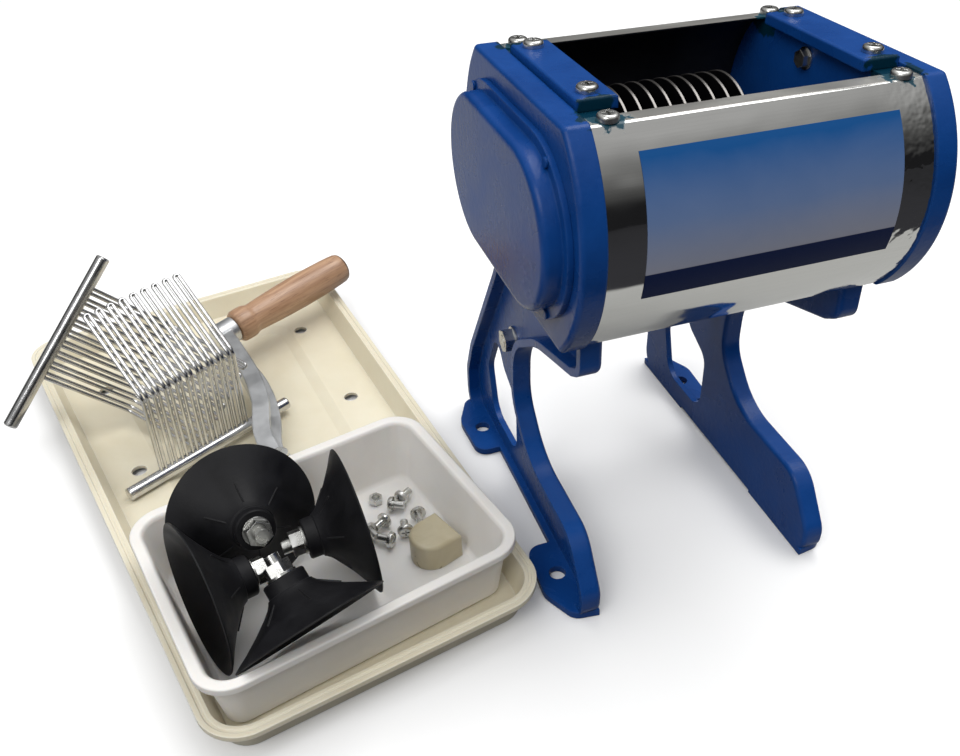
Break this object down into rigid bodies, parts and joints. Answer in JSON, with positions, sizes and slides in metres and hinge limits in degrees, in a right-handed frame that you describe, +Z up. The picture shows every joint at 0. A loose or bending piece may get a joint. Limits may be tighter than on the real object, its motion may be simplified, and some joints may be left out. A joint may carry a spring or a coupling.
{
  "type": "meat slicer",
  "caption": "Hand cranked meat and jerky slicer: two meshed knife arbors in a cast body on open legs, with crank, stripper combs, tray, catch box and suction feet laid beside it.",
  "frame": {"origin": "on the table at the centre of the four foot holes", "axes": "+X along the arbors to the crank side, +Y to the back, +Z up"},
  "size_m": [0.5043, 0.4461, 0.3018],
  "materials": {
    "blue_paint": "glossy royal blue paint",
    "stainless": "polished stainless sheet",
    "zinc": "zinc plated",
    "knife_steel": "ground steel",
    "bright_steel": "bright steel",
    "bronze": "sintered bronze",
    "tray_plastic": "ivory moulded plastic",
    "box_plastic": "milky translucent plastic",
    "cap_plastic": "cream plastic",
    "black_rubber": "matt black rubber",
    "cast_aluminium": "satin",
    "beech": "varnished beech"
  },
  "bodies": {
    "machine": {"right_end_casting": "blue_paint", "left_end_casting": "blue_paint", "gear_cover": "blue_paint", "gear_cover_screws": "blue_paint", "front_shroud": "stainless", "back_shroud": "stainless", "left_top_bar": "blue_paint", "right_top_bar": "blue_paint", "shroud_screws": "zinc", "top_bar_screws": "zinc", "right_leg": "blue_paint", "left_leg": "blue_paint", "leg_bolts": "zinc", "stay_rod": "zinc", "stay_nuts": "zinc", "arbor_bushes": "bronze", "comb_bolts": "zinc"},
    "drive_arbor": {"drive_shaft": "bright_steel", "back_knives": "knife_steel", "back_spacers": "knife_steel", "drive_gear": "bright_steel", "drive_nut": "bright_steel"},
    "driven_arbor": {"driven_shaft": "bright_steel", "front_knives": "knife_steel", "front_spacers": "knife_steel", "driven_gear": "bright_steel", "driven_nut": "bright_steel"},
    "tray": {"tray": "tray_plastic"},
    "catch_box": {"catch_box": "box_plastic", "suction_cup_1": "black_rubber", "suction_cup_2": "black_rubber", "suction_cup_3": "black_rubber", "suction_cup_4": "black_rubber", "cup_studs": "zinc", "cup_nuts": "zinc", "spare_screws": "zinc", "spare_nuts": "zinc", "shaft_cap": "cap_plastic"},
    "comb_one": {"comb_one_rod": "bright_steel", "comb_one_wires": "bright_steel"},
    "comb_two": {"comb_two_rod": "bright_steel", "comb_two_wires": "bright_steel"},
    "crank": {"crank_arm": "cast_aluminium", "crank_spindle": "zinc", "crank_clamp_screw": "zinc"},
    "grip": {"crank_grip": "beech"}
  },
  "joints": [
    {"name": "drive_arbor_spin", "type": "hinge", "parent": "machine", "child": "drive_arbor", "pos_m": [0, -0.016, 0.241], "axis": [1, 0, 0], "continuous": true},
    {"name": "driven_arbor_spin", "type": "hinge", "parent": "machine", "child": "driven_arbor", "pos_m": [0, -0.076, 0.241], "axis": [1, 0, 0], "continuous": true},
    {"name": "tray_lift", "type": "slide", "parent": "machine", "child": "tray", "axis": [0, 0, 1], "range_m": [0, 0.12]},
    {"name": "catch_box_lift", "type": "slide", "parent": "tray", "child": "catch_box", "axis": [0, 0, 1], "range_m": [0, 0.1]},
    {"name": "comb_one_lift", "type": "slide", "parent": "tray", "child": "comb_one", "axis": [0, 0, 1], "range_m": [0, 0.1]},
    {"name": "comb_two_lift", "type": "slide", "parent": "comb_one", "child": "comb_two", "axis": [0.4532, 0.2113, 0.866], "range_m": [0, 0.1]},
    {"name": "crank_lift", "type": "slide", "parent": "comb_two", "child": "crank", "axis": [0.4532, 0.2113, 0.866], "range_m": [0, 0.1]},
    {"name": "grip_spin", "type": "hinge", "parent": "crank", "child": "grip", "pos_m": [-0.2371, 0.2161, 0.034], "axis": [0.8799, 0.4678, 0.0837], "continuous": true}
  ],
  "couplings": [
    {"joint": "driven_arbor_spin", "follows": "drive_arbor_spin", "ratio": -1}
  ]
}
